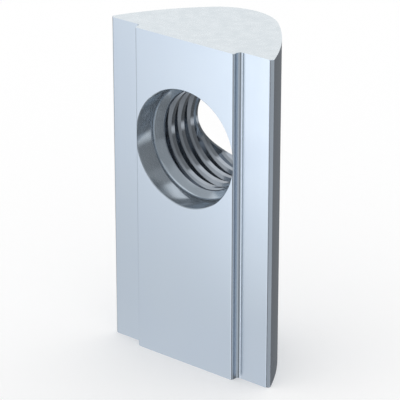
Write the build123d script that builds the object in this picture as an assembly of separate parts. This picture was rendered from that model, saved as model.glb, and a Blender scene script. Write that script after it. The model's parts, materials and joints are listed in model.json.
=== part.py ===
from build123d import *
import os
from math import cos, radians, sin, tan

# Half-round threaded nut for the 8 mm slot of aluminium profile, all in one piece.
# It stands on one of its cut ends: Z runs up along the bar and X across it.
# The stepped face that shows in the slot looks towards -Y, the round back towards +Y.
# The origin is the middle of the floor of its bounding box.

# The bar
length = 23.0
flange_width = 13.4            # over both flange tips
flange_chamfer = 0.2           # 45 degrees, on the outer edges of the flange faces
back_depth = 6.9               # from the flange faces to the crown of the back
crown_radius = 3.94
crown_half_angle = 43.4        # degrees that the crown turns each way before its flank
end_break = 0.05               # edge break round both cut ends

# The neck that lies between the lips of the slot
neck_width = 8.2
neck_height = 0.6              # above the flange faces
neck_corner_radius = 0.15
neck_root_radius = 0.28

# The hole, off centre along the bar, for an M8 x 1 screw
hole_from_top_end = 7.5
thread_diameter = 8.0
thread_pitch = 1.0
bore_start = 2.13              # from the neck face to where the full bore begins
counterbore_clearance = 0.1    # on the thread's diameter
counterbore_root_radius = 0.42
shoulder_angle = 104.0         # degrees, the cone from the counterbore down to the bore

half_width = flange_width / 2
half_neck = neck_width / 2
depth = neck_height + back_depth
flange_plane = neck_height - depth / 2
hole_height = length - hole_from_top_end
thread_depth = 5 / 8 * cos(radians(30)) * thread_pitch  # metric: 5/8 of the sharp triangle
bore_radius = thread_diameter / 2 - thread_depth
counterbore_radius = (thread_diameter + counterbore_clearance) / 2


def back_outline(flange_corner):
    """Half of the back, from the flange face round to the crown's middle."""
    flange_tip = (half_width, flange_chamfer)
    crown_centre = (0, back_depth - crown_radius)
    turn = radians(crown_half_angle)
    crown_end = (crown_radius * sin(turn), crown_centre[1] + crown_radius * cos(turn))
    crown_tangent = (cos(turn), -sin(turn))
    return [
        Line(flange_corner, flange_tip),
        TangentArc(crown_end, flange_tip, tangent=crown_tangent),
        CenterArc(crown_centre, crown_radius, 90 - crown_half_angle, crown_half_angle),
    ]


def neck_outline(flange_corner):
    """Half of the front: flange face, root fillet, neck wall, corner and neck face."""
    root_start = (half_neck + neck_root_radius, 0)
    root_end = (half_neck, -neck_root_radius)
    corner_start = (half_neck, neck_corner_radius - neck_height)
    corner_end = (half_neck - neck_corner_radius, -neck_height)
    return [
        Line(flange_corner, root_start),
        TangentArc(root_start, root_end, tangent=(-1, 0)),
        Line(root_end, corner_start),
        TangentArc(corner_start, corner_end, tangent=(0, -1)),
        Line(corner_end, (0, -neck_height)),
    ]


def section():
    """The bar's cross-section, with the flange faces on Y = 0."""
    flange_corner = (half_width - flange_chamfer, 0)
    half = back_outline(flange_corner) + neck_outline(flange_corner)
    other_half = [edge.mirror(Plane.YZ) for edge in half]
    return make_face(half + other_half)


def bar():
    blank = extrude(section(), length)
    cut_ends = blank.faces().filter_by(Axis.Z)
    return chamfer(cut_ends.edges(), end_break)


def hole_tool():
    """Counterbore, its conical shoulder and the bore, turned as one form about the hole's axis."""
    cone_length = (counterbore_radius - bore_radius) / tan(radians(shoulder_angle / 2))
    shoulder = (counterbore_radius, bore_start - cone_length)
    profile = Polyline(
        (0, -depth),
        (counterbore_radius, -depth),
        shoulder,
        (bore_radius, bore_start),
        (bore_radius, 2 * depth),
        (0, 2 * depth),
        close=True,
    )
    outline = make_face(profile)
    root = outline.vertices().sort_by_distance(shoulder)[0]
    turned = revolve(fillet(root, counterbore_root_radius), Axis.Y)
    return Pos(0, -neck_height, hole_height) * turned


nut_body = Pos(0, flange_plane, 0) * (bar() - hole_tool())

os.makedirs("parts", exist_ok=True)
export_step(nut_body, "parts/nut_body.step")
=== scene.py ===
import bpy
import bmesh
import json
from math import atan2, cos, degrees, hypot, pi, radians, sin, tan
from mathutils import Matrix, Vector


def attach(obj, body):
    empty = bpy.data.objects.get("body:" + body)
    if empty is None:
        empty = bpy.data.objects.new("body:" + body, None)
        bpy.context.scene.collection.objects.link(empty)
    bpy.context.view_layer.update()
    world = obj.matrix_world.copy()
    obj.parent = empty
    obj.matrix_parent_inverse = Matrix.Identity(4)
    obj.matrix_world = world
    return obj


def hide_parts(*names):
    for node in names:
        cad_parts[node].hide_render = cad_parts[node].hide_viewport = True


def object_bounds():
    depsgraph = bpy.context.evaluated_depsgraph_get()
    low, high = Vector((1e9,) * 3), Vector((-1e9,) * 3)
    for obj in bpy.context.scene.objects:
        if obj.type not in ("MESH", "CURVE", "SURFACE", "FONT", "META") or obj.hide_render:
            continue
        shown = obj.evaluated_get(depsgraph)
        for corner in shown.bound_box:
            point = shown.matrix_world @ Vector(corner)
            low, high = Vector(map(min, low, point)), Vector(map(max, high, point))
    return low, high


# A threaded slot nut: one zinc-plated steel bar with a tapped hole through it.
# Its shapes are worked out in millimetres and scaled to metres when the piece is finished.

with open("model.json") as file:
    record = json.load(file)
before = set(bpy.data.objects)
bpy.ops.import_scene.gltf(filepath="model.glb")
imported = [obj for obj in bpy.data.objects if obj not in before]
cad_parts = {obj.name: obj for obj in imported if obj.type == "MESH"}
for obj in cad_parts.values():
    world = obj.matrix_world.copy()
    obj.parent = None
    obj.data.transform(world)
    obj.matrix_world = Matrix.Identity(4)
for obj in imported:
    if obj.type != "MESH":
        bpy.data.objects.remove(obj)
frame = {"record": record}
cadLow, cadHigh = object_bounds()
mm = 0.001
mounts = {mount["name"]: mount for mount in frame["record"]["mounts"]}
print("frame loaded", [round(side / mm, 2) for side in cadHigh - cadLow], "mm")


# Helpers for objects and node trees
def linkObject(name, data):
    linked = bpy.data.objects.new(name, data)
    bpy.context.scene.collection.objects.link(linked)
    return linked


def meshObject(name, made):
    mesh = bpy.data.meshes.new(name)
    made.to_mesh(mesh)
    made.free()
    return linkObject(name, mesh)


# Faces between two closed rings of points
def bridge(made, near, far):
    for i in range(len(near)):
        made.faces.new((near[i - 1], near[i], far[i], far[i - 1]))


def addNode(tree, kind, sockets=None, **settings):
    node = tree.nodes.new(kind)
    for name, value in settings.items():
        setattr(node, name, value)
    for name, value in (sockets or {}).items():
        if isinstance(value, bpy.types.NodeSocket):
            tree.links.new(value, node.inputs[name])
        else:
            node.inputs[name].default_value = value
    return node


def calculate(tree, operation, first, second):
    return addNode(tree, "ShaderNodeMath", {0: first, 1: second}, operation=operation).outputs[0]


def mixColour(tree, factor, first, second):
    colours = {0: factor, 6: first, 7: second}
    return addNode(tree, "ShaderNodeMix", colours, data_type="RGBA").outputs[2]


# From 0 at the first limit to 1 at the second
def between(tree, value, limits):
    sockets = {"Value": value, "From Min": limits[0], "From Max": limits[1]}
    return addNode(tree, "ShaderNodeMapRange", sockets).outputs[0]


def grey(tone):
    return (tone, tone, tone, 1)


def addSockets(tree, inputs, outputs):
    for name, kind in inputs.items():
        tree.interface.new_socket(name, in_out="INPUT", socket_type="NodeSocket" + kind)
    for name, kind in outputs.items():
        tree.interface.new_socket(name, in_out="OUTPUT", socket_type="NodeSocket" + kind)


def setInputs(modifier, values):
    for socket in modifier.node_group.interface.items_tree:
        if socket.item_type == "SOCKET" and socket.name in values:
            modifier[socket.identifier] = values[socket.name]


# The drawn bar
bar = {
    "flangeChamfer": 0.2,      # on the outer edges of the flange faces, at 45 degrees
    "flangeRounding": 0.14,    # radius between a flange face and its chamfer
    "neckWidth": 8.2,
    "neckHeight": 0.6,
    "neckCorner": 0.15,        # radius
    "neckRoot": 0.28,          # radius
    "crownRadius": 3.94,
    "crownTurn": 43.4,         # degrees from the middle of the back to the start of the flank
    "endBreak": 0.05,          # rounding round both cut ends
    "endFacing": 0.9,          # least part of a cut end's normal that lies along the bar
    "largeStep": 0.045,        # between two points of the crown and the flanks
    "smallStep": 0.03,         # and of the small radii
}
length = (cadHigh.z - cadLow.z) / mm
halfWidth = (cadHigh.x - cadLow.x) / 2 / mm
neckFace = cadLow.y / mm
crown = cadHigh.y / mm
flangeFace = neckFace + bar["neckHeight"]


def arc(centre, radius, start, end, step):
    count = max(2, round(radians(abs(end - start)) * radius / step))
    turns = [radians(start + (end - start) * i / count) for i in range(count + 1)]
    return [(centre[0] + radius * cos(turn), centre[1] + radius * sin(turn)) for turn in turns]


# The crown's arc, and each flank's: one arc from the flange tip, tangent to the crown
tip = Vector((halfWidth, flangeFace + bar["flangeChamfer"]))
outward = Vector((sin(radians(bar["crownTurn"])), cos(radians(bar["crownTurn"]))))
crownCentre = Vector((0, crown - bar["crownRadius"]))
crownEnd = crownCentre + outward * bar["crownRadius"]
flankSpan = tip - crownEnd
flankRadius = -flankSpan.length_squared / 2 / flankSpan.dot(outward)
flankCentre = crownEnd - outward * flankRadius


# Half of the section on the +X side, from the neck round to the middle of the back
def halfSection():
    halfNeck = bar["neckWidth"] / 2
    corner = bar["neckCorner"]
    root = bar["neckRoot"]
    points = arc((halfNeck - corner, neckFace + corner), corner, -90, 0, bar["smallStep"])
    points += arc((halfNeck + root, flangeFace - root), root, 180, 90, bar["smallStep"])
    rounding = bar["flangeRounding"]
    roundStart = halfWidth - bar["flangeChamfer"] - rounding * tan(radians(45 / 2))
    points += arc((roundStart, flangeFace + rounding), rounding, -90, -45, bar["smallStep"])
    tipTurn = degrees(atan2(tip.y - flankCentre.y, tip.x - flankCentre.x))
    crownStart = 90 - bar["crownTurn"]
    points += arc(flankCentre, flankRadius, tipTurn, crownStart, bar["largeStep"])
    points += arc(crownCentre, bar["crownRadius"], crownStart, 90, bar["largeStep"])[1:]
    return points


def drawnBar():
    half = halfSection()
    outline = half + [(-x, y) for x, y in reversed(half[:-1])]
    made = bmesh.new()
    low, high = [[made.verts.new((x, y, z)) for x, y in outline] for z in (0, length)]
    bridge(made, low, high)
    ends = [made.faces.new(low[::-1]), made.faces.new(high)]
    rims = [edge for end in ends for edge in end.edges]
    bmesh.ops.bevel(made, geom=rims, offset=bar["endBreak"], segments=2, profile=0.5, affect="EDGES")
    return meshObject("drawnBar", made)


# The hole: a counterbore with a rounded, conical foot, and the thread behind it
hole = {
    "threadDiameter": 8.0,
    "pitch": 1.0,
    "rimBreak": 0.05,          # round the mouth of the counterbore, at 45 degrees
    "footRadius": 0.42,        # at the foot of the counterbore
    "footStep": 0.045,         # between two points of that radius
    "shoulderSlope": 52.0,     # degrees between the cone and the axis
    "shoulderBreak": 0.05,     # where the cone meets the bore
    "boreStart": 2.13,         # depth from the neck face
    "land": 0.06,              # plain bore in front of the first groove
    "exitLand": 0.15,          # and between the last groove and the round back
    "rootFlat": 0.03,          # width of the groove's root
    "phase": 1.067,            # depth of the groove's middle where it starts, on the +X side
    "turns": 7.5,
    "overlap": 0.1,            # how far the groove's cutter reaches into the bore
    "steps": 144,              # round one turn
    "runOut": 1.0,             # how far the cutters stand out of the bar
    "mergeDistance": 0.001,    # points of the cut bar that lie closer become one
    "hair": 0.01,              # how near a point counts as on the rim or on the neck face
    "sharpAngle": 30,          # degrees: an edge of the nut that bends more is shaded sharp
}
threadAngle = radians(60)      # this and the core's radius are those of a standard metric thread
sharpDepth = hole["pitch"] * cos(threadAngle / 2)
rootRadius = hole["threadDiameter"] / 2
coreRadius = rootRadius - sharpDepth * 5 / 8
clearRadius = mounts["counterbore"]["dims"]["r_mm"]
holeHeight = mounts["thread"]["pos_m"][2] / mm
barDepth = crown - neckFace


# Counterbore and bore, turned about the axis of the hole
def turnedCutter():
    slope = hole["shoulderSlope"]
    boreStart = hole["boreStart"]
    coneLength = (clearRadius - coreRadius) / tan(radians(slope))
    footRadius = hole["footRadius"]
    footStart = boreStart - coneLength - footRadius * tan(radians(slope / 2))
    foot = arc((footStart, clearRadius - footRadius), footRadius, 90, 90 - slope, hole["footStep"])
    outside = hole["runOut"]
    rim = hole["rimBreak"]
    edge = hole["shoulderBreak"]
    profile = [(-outside, clearRadius + rim + outside), (rim, clearRadius)] + foot + [
        (boreStart - edge * cos(radians(slope)), coreRadius + edge * sin(radians(slope))),
        (boreStart + edge, coreRadius),
        (barDepth + outside, coreRadius),
    ]
    made = bmesh.new()
    turns = [2 * pi * i / hole["steps"] for i in range(hole["steps"])]
    rings = []
    for depth, radius in profile:
        y = neckFace + depth
        rings.append([made.verts.new((radius * cos(t), y, holeHeight - radius * sin(t))) for t in turns])
    for near, far in zip(rings, rings[1:]):
        bridge(made, near, far)
    made.faces.new(rings[0])
    made.faces.new(rings[-1])
    bmesh.ops.recalc_face_normals(made, faces=made.faces)
    return meshObject("turnedCutter", made)


# The thread: a 60 degree groove swept along a helix, cut out of the bar with the turned cutter
def tappingTree():
    tree = bpy.data.node_groups.new("tapping", "GeometryNodeTree")
    addSockets(tree, {
        "Bar": "Geometry",
        "Turned Cutter": "Object",
        "Helix Radius": "Float",
        "Pitch": "Float",
        "Turns": "Float",
        "Steps": "Int",
        "Groove Depth": "Float",
        "Groove Mouth": "Float",
        "Groove Root": "Float",
        "Groove Phase": "Float",
        "Plain Depth": "Float",
        "Exit Scale": "Vector",
        "Axis Place": "Vector",
        "Merge Distance": "Float",
        "Sharp Angle": "Float",
        "Metal": "Material",
    }, {"Nut": "Geometry"})
    given = addNode(tree, "NodeGroupInput").outputs
    helix = addNode(tree, "GeometryNodeCurveSpiral", {
        "Resolution": given["Steps"],
        "Rotations": given["Turns"],
        "Start Radius": given["Helix Radius"],
        "End Radius": given["Helix Radius"],
        "Height": calculate(tree, "MULTIPLY", given["Pitch"], given["Turns"]),
        "Reverse": True,       # right-handed
    })
    upright = addNode(tree, "GeometryNodeSetCurveNormal", {"Curve": helix.outputs[0]}, mode="Z_UP")
    profile = addNode(tree, "GeometryNodeCurvePrimitiveQuadrilateral", {
        "Height": given["Groove Depth"],
        "Bottom Width": given["Groove Mouth"],
        "Top Width": given["Groove Root"],
        "Offset": 0.0,
    }, mode="TRAPEZOID")
    rootOut = addNode(tree, "GeometryNodeTransform", {
        "Geometry": profile.outputs[0],
        "Rotation": (0, 0, radians(-90)),
    })
    groove = addNode(tree, "GeometryNodeCurveToMesh", {
        "Curve": upright.outputs[0],
        "Profile Curve": rootOut.outputs[0],
        "Fill Caps": True,
    })
    facets = addNode(tree, "GeometryNodeTriangulate", {"Mesh": groove.outputs[0]})
    start = addNode(tree, "ShaderNodeCombineXYZ", {"Z": given["Groove Phase"]})
    placed = addNode(tree, "GeometryNodeTransform", {
        "Geometry": facets.outputs[0],
        "Translation": start.outputs[0],
    })
    plainPart = addNode(tree, "GeometryNodeMeshCylinder", {
        "Vertices": given["Steps"],
        "Radius": calculate(tree, "ADD", given["Helix Radius"], given["Groove Depth"]),
        "Depth": calculate(tree, "MULTIPLY", given["Plain Depth"], 2.0),
    })
    clipped = addNode(tree, "GeometryNodeMeshBoolean", {
        "Mesh 1": placed.outputs[0],
        "Mesh 2": plainPart.outputs[0],
    }, operation="DIFFERENCE", solver="EXACT")
    alongHole = addNode(tree, "GeometryNodeTransform", {
        "Geometry": clipped.outputs[0],
        "Rotation": (radians(-90), 0, 0),
        "Translation": given["Axis Place"],
    })
    slimBar = addNode(tree, "GeometryNodeTransform", {
        "Geometry": given["Bar"],
        "Scale": given["Exit Scale"],
    })
    inside = addNode(tree, "GeometryNodeMeshBoolean", {
        "Mesh 2": alongHole.outputs[0],
    }, operation="INTERSECT", solver="EXACT")
    tree.links.new(slimBar.outputs[0], inside.inputs["Mesh 2"])
    turned = addNode(tree, "GeometryNodeObjectInfo", {"Object": given["Turned Cutter"]})
    cut = addNode(tree, "GeometryNodeMeshBoolean", {
        "Mesh 1": given["Bar"],
        "Mesh 2": turned.outputs["Geometry"],
    }, operation="DIFFERENCE", solver="EXACT")
    tree.links.new(inside.outputs[0], cut.inputs["Mesh 2"])
    merged = addNode(tree, "GeometryNodeMergeByDistance", {
        "Geometry": cut.outputs[0],
        "Distance": given["Merge Distance"],
    })
    smooth = addNode(tree, "GeometryNodeSetShadeSmooth", {"Geometry": merged.outputs[0]})
    bend = addNode(tree, "GeometryNodeInputMeshEdgeAngle").outputs["Unsigned Angle"]
    edges = addNode(tree, "GeometryNodeSetShadeSmooth", {
        "Geometry": smooth.outputs[0],
        "Shade Smooth": calculate(tree, "LESS_THAN", bend, given["Sharp Angle"]),
    }, domain="EDGE")
    real = addNode(tree, "GeometryNodeRealizeInstances", {"Geometry": edges.outputs[0]})
    metal = addNode(tree, "GeometryNodeSetMaterial", {
        "Geometry": real.outputs[0],
        "Material": given["Metal"],
    })
    addNode(tree, "NodeGroupOutput", {"Nut": metal.outputs[0]})
    return tree


# Zinc plating: faint clouds and a fine grain, which every finish of the nut shares
plating = {
    "cloudDetail": 3.0,
    "cloudRange": (0.35, 0.65),  # values of the noise, from the colour to the cloud colour
    "grainDetail": 2.0,
}


def platingGroup():
    group = bpy.data.node_groups.new("zincPlating", "ShaderNodeTree")
    addSockets(group, {
        "Colour": "Color",
        "Cloud Colour": "Color",
        "Cloud Size": "Float",
        "Grain Size": "Float",
        "Grain Stretch": "Vector",
        "Roughness": "Float",
        "Roughness Spread": "Float",
    }, {"Colour": "Color", "Roughness": "Float", "Grain": "Float"})
    given = addNode(group, "NodeGroupInput").outputs
    place = addNode(group, "ShaderNodeTexCoord").outputs["Object"]
    clouds = addNode(group, "ShaderNodeTexNoise", {
        "Vector": place,
        "Scale": calculate(group, "DIVIDE", 1.0, given["Cloud Size"]),
        "Detail": plating["cloudDetail"],
    })
    cloudMask = between(group, clouds.outputs["Fac"], plating["cloudRange"])
    colour = mixColour(group, cloudMask, given["Colour"], given["Cloud Colour"])
    stretched = addNode(group, "ShaderNodeVectorMath", {
        0: place,
        1: given["Grain Stretch"],
    }, operation="MULTIPLY")
    grain = addNode(group, "ShaderNodeTexNoise", {
        "Vector": stretched.outputs[0],
        "Scale": calculate(group, "DIVIDE", 1.0, given["Grain Size"]),
        "Detail": plating["grainDetail"],
    }).outputs["Fac"]
    uneven = calculate(group, "ADD", calculate(group, "SUBTRACT", grain, 0.5),
                       calculate(group, "SUBTRACT", cloudMask, 0.5))
    roughness = calculate(group, "ADD", given["Roughness"],
                          calculate(group, "MULTIPLY", uneven, given["Roughness Spread"]))
    addNode(group, "NodeGroupOutput", {"Colour": colour, "Roughness": roughness, "Grain": grain})
    return group


# The four finishes. Values with a capital go to the plating's inputs, and sizes are in metres.
finishes = {
    "zincDrawn": {             # the drawn sides, with faint lines along the bar
        "metallic": 1.0,
        "Colour": (0.73, 0.83, 0.95, 1),
        "Cloud Colour": (0.71, 0.81, 0.94, 1),
        "Cloud Size": 0.005,
        "Grain Size": 0.00025,
        "Grain Stretch": (1, 1, 0.05),
        "Roughness": 0.24,
        "Roughness Spread": 0.05,
        "bumpHeight": 0.0000004,
    },
    "zincSawn": {              # the cut ends, finely mottled
        "metallic": 1.0,
        "Colour": (0.80, 0.86, 0.90, 1),
        "Cloud Colour": (0.73, 0.79, 0.83, 1),
        "Cloud Size": 0.0007,
        "Grain Size": 0.00022,
        "Grain Stretch": (1, 1, 1),
        "Roughness": 0.27,
        "Roughness Spread": 0.08,
        "bumpHeight": 0.000002,
    },
    "zincBoredWithPaintedShade": {             # the counterbore, duller and with turned rings; its darker colour is painted shade of the hole
        "metallic": 0.74,
        "Colour": (0.49, 0.56, 0.63, 1),
        "Cloud Colour": (0.45, 0.52, 0.59, 1),
        "Cloud Size": 0.002,
        "Grain Size": 0.00015,
        "Grain Stretch": (0.05, 1, 0.05),
        "Roughness": 0.13,
        "Roughness Spread": 0.04,
        "bumpHeight": 0.0000004,
    },
    "zincTappedWithPaintedShade": {            # the thread: its darker colour is painted shade of the hole
        "metallic": 0.94,
        "Colour": (0.38, 0.42, 0.47, 1),
        "Cloud Colour": (0.33, 0.37, 0.42, 1),
        "Cloud Size": 0.002,
        "Grain Size": 0.00015,
        "Grain Stretch": (0.05, 1, 0.05),
        "Roughness": 0.11,
        "Roughness Spread": 0.03,
        "bumpHeight": 0.0000004,
    },
}


def platedMetal(name, group):
    metal = bpy.data.materials.new(name)
    metal.use_nodes = True
    tree = metal.node_tree
    shader = tree.nodes["Principled BSDF"]
    finish = dict(finishes[name])
    shader.inputs["Metallic"].default_value = finish.pop("metallic")
    bumpHeight = finish.pop("bumpHeight")
    coat = addNode(tree, "ShaderNodeGroup", node_tree=group)
    for socket, value in finish.items():
        coat.inputs[socket].default_value = value
    bump = addNode(tree, "ShaderNodeBump", {
        "Height": coat.outputs["Grain"],
        "Distance": bumpHeight,
    })
    tree.links.new(coat.outputs["Colour"], shader.inputs["Base Color"])
    tree.links.new(coat.outputs["Roughness"], shader.inputs["Roughness"])
    tree.links.new(bump.outputs[0], shader.inputs["Normal"])
    return metal


# The nut itself: the bar is cut, and each face gets the finish of the tool that made it; the hole's two
# finishes are darker, as painted shade
def makeNut():
    group = platingGroup()
    metals = {name: platedMetal(name, group) for name in finishes}
    blank = drawnBar()
    cutter = turnedCutter()
    tapping = blank.modifiers.new("tapping", "NODES")
    tapping.node_group = tappingTree()
    baseRadius = coreRadius - hole["overlap"]
    grooveDepth = rootRadius - baseRadius
    slim = 1 - hole["exitLand"] / crown
    setInputs(tapping, {
        "Turned Cutter": cutter,
        "Helix Radius": (rootRadius + baseRadius) / 2,
        "Pitch": hole["pitch"],
        "Turns": hole["turns"],
        "Steps": hole["steps"],
        "Groove Depth": grooveDepth,
        "Groove Mouth": hole["rootFlat"] + 2 * grooveDepth * tan(threadAngle / 2),
        "Groove Root": hole["rootFlat"],
        "Groove Phase": hole["phase"],
        "Plain Depth": hole["boreStart"] + hole["land"],
        "Exit Scale": (slim, slim, 1),
        "Axis Place": (0, neckFace, holeHeight),
        "Merge Distance": hole["mergeDistance"],
        "Sharp Angle": radians(hole["sharpAngle"]),
        "Metal": metals["zincDrawn"],
    })
    flatFaces = blank.modifiers.new("flatFaces", "WEIGHTED_NORMAL")
    flatFaces.keep_sharp = True
    evaluated = blank.evaluated_get(bpy.context.evaluated_depsgraph_get())
    mesh = bpy.data.meshes.new_from_object(evaluated)
    mesh.name = "slotNut"
    for spare in (blank, cutter):
        bpy.data.objects.remove(spare)
    mesh.materials.clear()
    for metal in metals.values():
        mesh.materials.append(metal)
    order = list(metals)
    mouthRadius = clearRadius + hole["rimBreak"] + hole["hair"]
    for face in mesh.polygons:
        corners = [mesh.vertices[i].co for i in face.vertices]
        inHole = all(hypot(place.x, place.z - holeHeight) < mouthRadius for place in corners)
        # Faces inside the hole get the darker finishes, whose colour is painted shade of the hole
        if inHole and face.center.y > neckFace + hole["boreStart"]:
            finish = "zincTappedWithPaintedShade"
        elif inHole and face.center.y > neckFace + hole["hair"]:
            finish = "zincBoredWithPaintedShade"
        else:
            finish = "zincSawn" if abs(face.normal.z) > bar["endFacing"] else "zincDrawn"
        face.material_index = order.index(finish)
    mesh.transform(Matrix.Scale(mm, 4))
    check = bmesh.new()
    check.from_mesh(mesh)
    openEdges = sum(not edge.is_manifold for edge in check.edges)
    print("nut cut:", len(mesh.polygons), "faces,", openEdges, "open edges,",
          round(check.calc_volume() / mm ** 3, 1), "cubic mm")
    check.free()
    nut = linkObject("slotNut", mesh)
    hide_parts("nut_body")
    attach(nut, "root")


# The studio: a pale floor in a white room. Only the metal's reflections see the tones below, as
# between light and dark panels. Each ramp runs by degrees from straight in front towards +X.
studio = {
    "floorSide": 1.2,          # metres
    "floorColour": 0.88,
    "strength": 1.35,          # of all the tones
    "footToMiddle": (0.01, 0.045),  # metres on the floor, where one ramp gives way to the next
    "middleToFar": (0.1, 0.17),     # far out it takes the low sky's tones
    "foot": {
        -180: 0.11, -130: 0.14, -110: 0.3, -95: 0.48, -85: 0.5, -27: 0.49, -19: 0.78, -7: 0.78,
        2: 0.48, 8: 0.28, 14: 0.19, 30: 0.12, 46: 0.11, 52: 0.37, 80: 0.36, 110: 0.11, 180: 0.11,
    },
    "middle": {
        -180: 0.11, -160: 0.13, -130: 0.14, -100: 0.3, -80: 0.4, -60: 0.5, -51: 0.55, -47: 0.61,
        -43: 0.72, -39: 0.88, -35: 0.96, -31: 0.95, -24: 0.78, -7: 0.78, 3: 0.5, 14: 0.28,
        27: 0.2, 37: 0.12, 46: 0.12, 52: 0.37, 75: 0.37, 95: 0.3, 115: 0.11, 136: 0.11,
        144: 0.7, 148: 0.7, 155: 0.11, 180: 0.11,
    },
    "lowSky": {
        -180: 0.25, -163: 0.3, -154: 0.66, -138: 0.67, -124: 0.74, -70: 0.74, -30: 0.66, -8: 0.5,
        10: 0.28, 40: 0.26, 90: 0.28, 112: 0.15, 150: 0.16, 168: 0.3, 180: 0.25,
    },
    "highSky": {
        -180: 0.8, -150: 0.8, -120: 0.76, -90: 0.6, -60: 0.4, 0: 0.38, 40: 0.4, 80: 0.5,
        104: 0.76, 118: 0.26, 166: 0.24, 173: 0.78, 180: 0.8,
    },
    "overhead": 0.76,
    "footHeights": (-0.1, 0.0),      # sines of the elevation, from each zone to the one above it
    "skyHeights": (0.46, 0.54),
    "overheadHeights": (0.72, 0.82),
}


# A colour ramp that turns a direction into a tone. Its middle lies straight in front.
def toneByAngle(tree, direction, tones):
    facing = addNode(tree, "ShaderNodeMapping", {
        "Vector": direction,
        "Rotation": (0, 0, radians(90)),
    })
    turn = addNode(tree, "ShaderNodeTexGradient", {"Vector": facing.outputs[0]}, gradient_type="RADIAL")
    ramp = addNode(tree, "ShaderNodeValToRGB", {"Fac": turn.outputs["Fac"]})
    stops = ramp.color_ramp.elements
    for angle, tone in tones.items():
        place = angle / 360 + 0.5
        stop = stops[0] if place == 0 else stops[-1] if place == 1 else stops.new(place)
        stop.position = place
        stop.color = grey(tone)
    return ramp.outputs[0]


# One shader for the metal's reflections, and another for every other ray
def splitByRay(tree, direct, reflected):
    glossy = addNode(tree, "ShaderNodeLightPath").outputs["Is Glossy Ray"]
    return addNode(tree, "ShaderNodeMixShader", {0: glossy, 1: direct, 2: reflected}).outputs[0]


def floorMaterial():
    material = bpy.data.materials.new("studioFloor")
    material.use_nodes = True
    tree = material.node_tree
    tree.nodes.clear()
    place = addNode(tree, "ShaderNodeTexCoord").outputs["Object"]
    fromCorner = addNode(tree, "ShaderNodeVectorMath", {
        0: place,
        1: (cadHigh.x, flangeFace * mm, cadLow.z),  # the foot of the flange's corner on the +X side
    }, operation="SUBTRACT").outputs[0]
    reach = addNode(tree, "ShaderNodeVectorMath", {0: fromCorner}, operation="LENGTH")
    distance = reach.outputs["Value"]
    middle = toneByAngle(tree, fromCorner, studio["middle"])
    far = toneByAngle(tree, fromCorner, studio["lowSky"])
    tone = mixColour(tree, between(tree, distance, studio["middleToFar"]), middle, far)
    around = addNode(tree, "ShaderNodeEmission", {"Color": tone, "Strength": studio["strength"]})
    reflected = addNode(tree, "ShaderNodeMixShader", {
        0: between(tree, distance, studio["footToMiddle"]),
        1: addNode(tree, "ShaderNodeBsdfTransparent").outputs[0],  # lets the room's foot tones through
        2: around.outputs[0],
    }).outputs[0]
    pale = grey(studio["floorColour"])
    plain = addNode(tree, "ShaderNodeBsdfDiffuse", {"Color": pale}).outputs[0]
    lift = addNode(tree, "ShaderNodeEmission", {"Strength": 1 - studio["floorColour"]}).outputs[0]
    white = addNode(tree, "ShaderNodeAddShader", {0: plain, 1: lift}).outputs[0]
    ray = addNode(tree, "ShaderNodeLightPath").outputs
    seen = calculate(tree, "MAXIMUM", ray["Is Camera Ray"], ray["Is Transmission Ray"])
    direct = addNode(tree, "ShaderNodeMixShader", {0: seen, 1: plain, 2: white}).outputs[0]
    shown = splitByRay(tree, direct, reflected)
    addNode(tree, "ShaderNodeOutputMaterial", {"Surface": shown})
    return material


def makeFloor():
    half = studio["floorSide"] / 2
    mesh = bpy.data.meshes.new("studioFloor")
    corners = [(x * half, y * half, cadLow.z) for x, y in ((-1, -1), (1, -1), (1, 1), (-1, 1))]
    mesh.from_pydata(corners, [], [(0, 1, 2, 3)])
    mesh.materials.append(floorMaterial())
    linkObject("studioFloor", mesh)


def makeRoom():
    world = bpy.data.worlds.new("studioRoom")
    bpy.context.scene.world = world
    world.use_nodes = True
    tree = world.node_tree
    direction = addNode(tree, "ShaderNodeTexCoord").outputs["Generated"]
    high = toneByAngle(tree, direction, studio["highSky"])
    low = toneByAngle(tree, direction, studio["lowSky"])
    below = toneByAngle(tree, direction, studio["foot"])
    height = addNode(tree, "ShaderNodeSeparateXYZ", {0: direction}).outputs["Z"]
    seen = mixColour(tree, between(tree, height, studio["footHeights"]), below, low)
    seen = mixColour(tree, between(tree, height, studio["skyHeights"]), seen, high)
    upper = between(tree, height, studio["overheadHeights"])
    seen = mixColour(tree, upper, seen, grey(studio["overhead"]))
    reflected = addNode(tree, "ShaderNodeBackground", {"Color": seen, "Strength": studio["strength"]})
    white = addNode(tree, "ShaderNodeBackground", {"Color": grey(1), "Strength": 1.0})
    shown = splitByRay(tree, white.outputs[0], reflected.outputs[0])
    tree.links.new(shown, tree.nodes["World Output"].inputs["Surface"])


# The camera stands where the photograph was taken from
view = {
    "azimuth": 39.26,          # degrees from straight in front towards +X
    "elevation": 23.30,
    "distance": 162.8,
    "aim": (-2.17, 0.58, 9.90),
    "lens": 216.6,
    "sensor": 36,
    "clipStart": 0.01,         # metres
}


def makeCamera():
    azimuth, elevation = radians(view["azimuth"]), radians(view["elevation"])
    back = Vector((sin(azimuth) * cos(elevation), -cos(azimuth) * cos(elevation), sin(elevation)))
    data = bpy.data.cameras.new("photoView")
    data.lens = view["lens"]
    data.sensor_width = view["sensor"]
    data.clip_start = view["clipStart"]
    camera = linkObject("photoView", data)
    camera.location = (Vector(view["aim"]) + back * view["distance"]) * mm
    camera.rotation_euler = back.to_track_quat("Z", "Y").to_euler()
    bpy.context.scene.camera = camera


makeNut()
makeFloor()
makeRoom()
makeCamera()
bpy.context.scene.view_settings.view_transform = "Standard"
print("studio and camera set")
